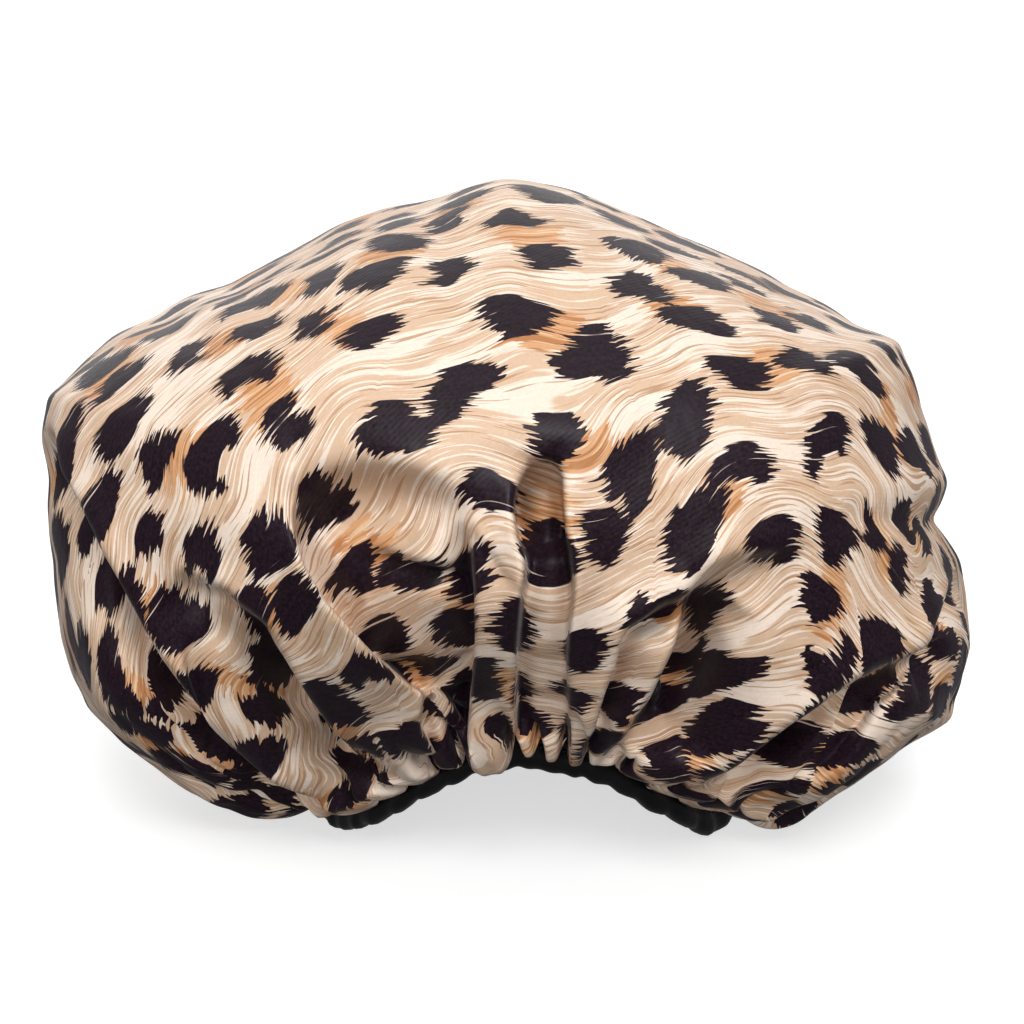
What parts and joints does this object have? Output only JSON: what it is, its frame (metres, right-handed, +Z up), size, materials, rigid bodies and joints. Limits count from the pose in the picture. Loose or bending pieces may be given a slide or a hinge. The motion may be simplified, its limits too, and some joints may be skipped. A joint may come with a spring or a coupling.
{
  "type": "shower cap",
  "caption": "Gathered dome-shaped shower cap of animal-print satin with a dark lining and a black elastic hem, standing mouth-down; keeps hair dry.",
  "frame": {"origin": "on the resting plane, under the middle of the cap's outline", "axes": "+Z up from the mouth to the crown, -Y the front with the raised arch of the hem, +X to the right seen from the front"},
  "size_m": [0.277, 0.2488, 0.188],
  "materials": {
    "printed_satin": "polyester satin, leopard print, soft sheen",
    "lining_satin": "coated black lining, low sheen",
    "binding_satin": "black woven satin tape",
    "elastic_knit": "knitted elastic, matt",
    "black_thread": "spun polyester thread",
    "white_thread": "spun polyester thread"
  },
  "bodies": {
    "root": {"outer_shell": "printed_satin", "waterproof_lining": "lining_satin", "hem_binding": "binding_satin", "elastic_band": "elastic_knit", "binding_topstitch": "black_thread", "elastic_lap_tack": "white_thread", "binding_join_seam": "black_thread"}
  },
  "joints": []
}
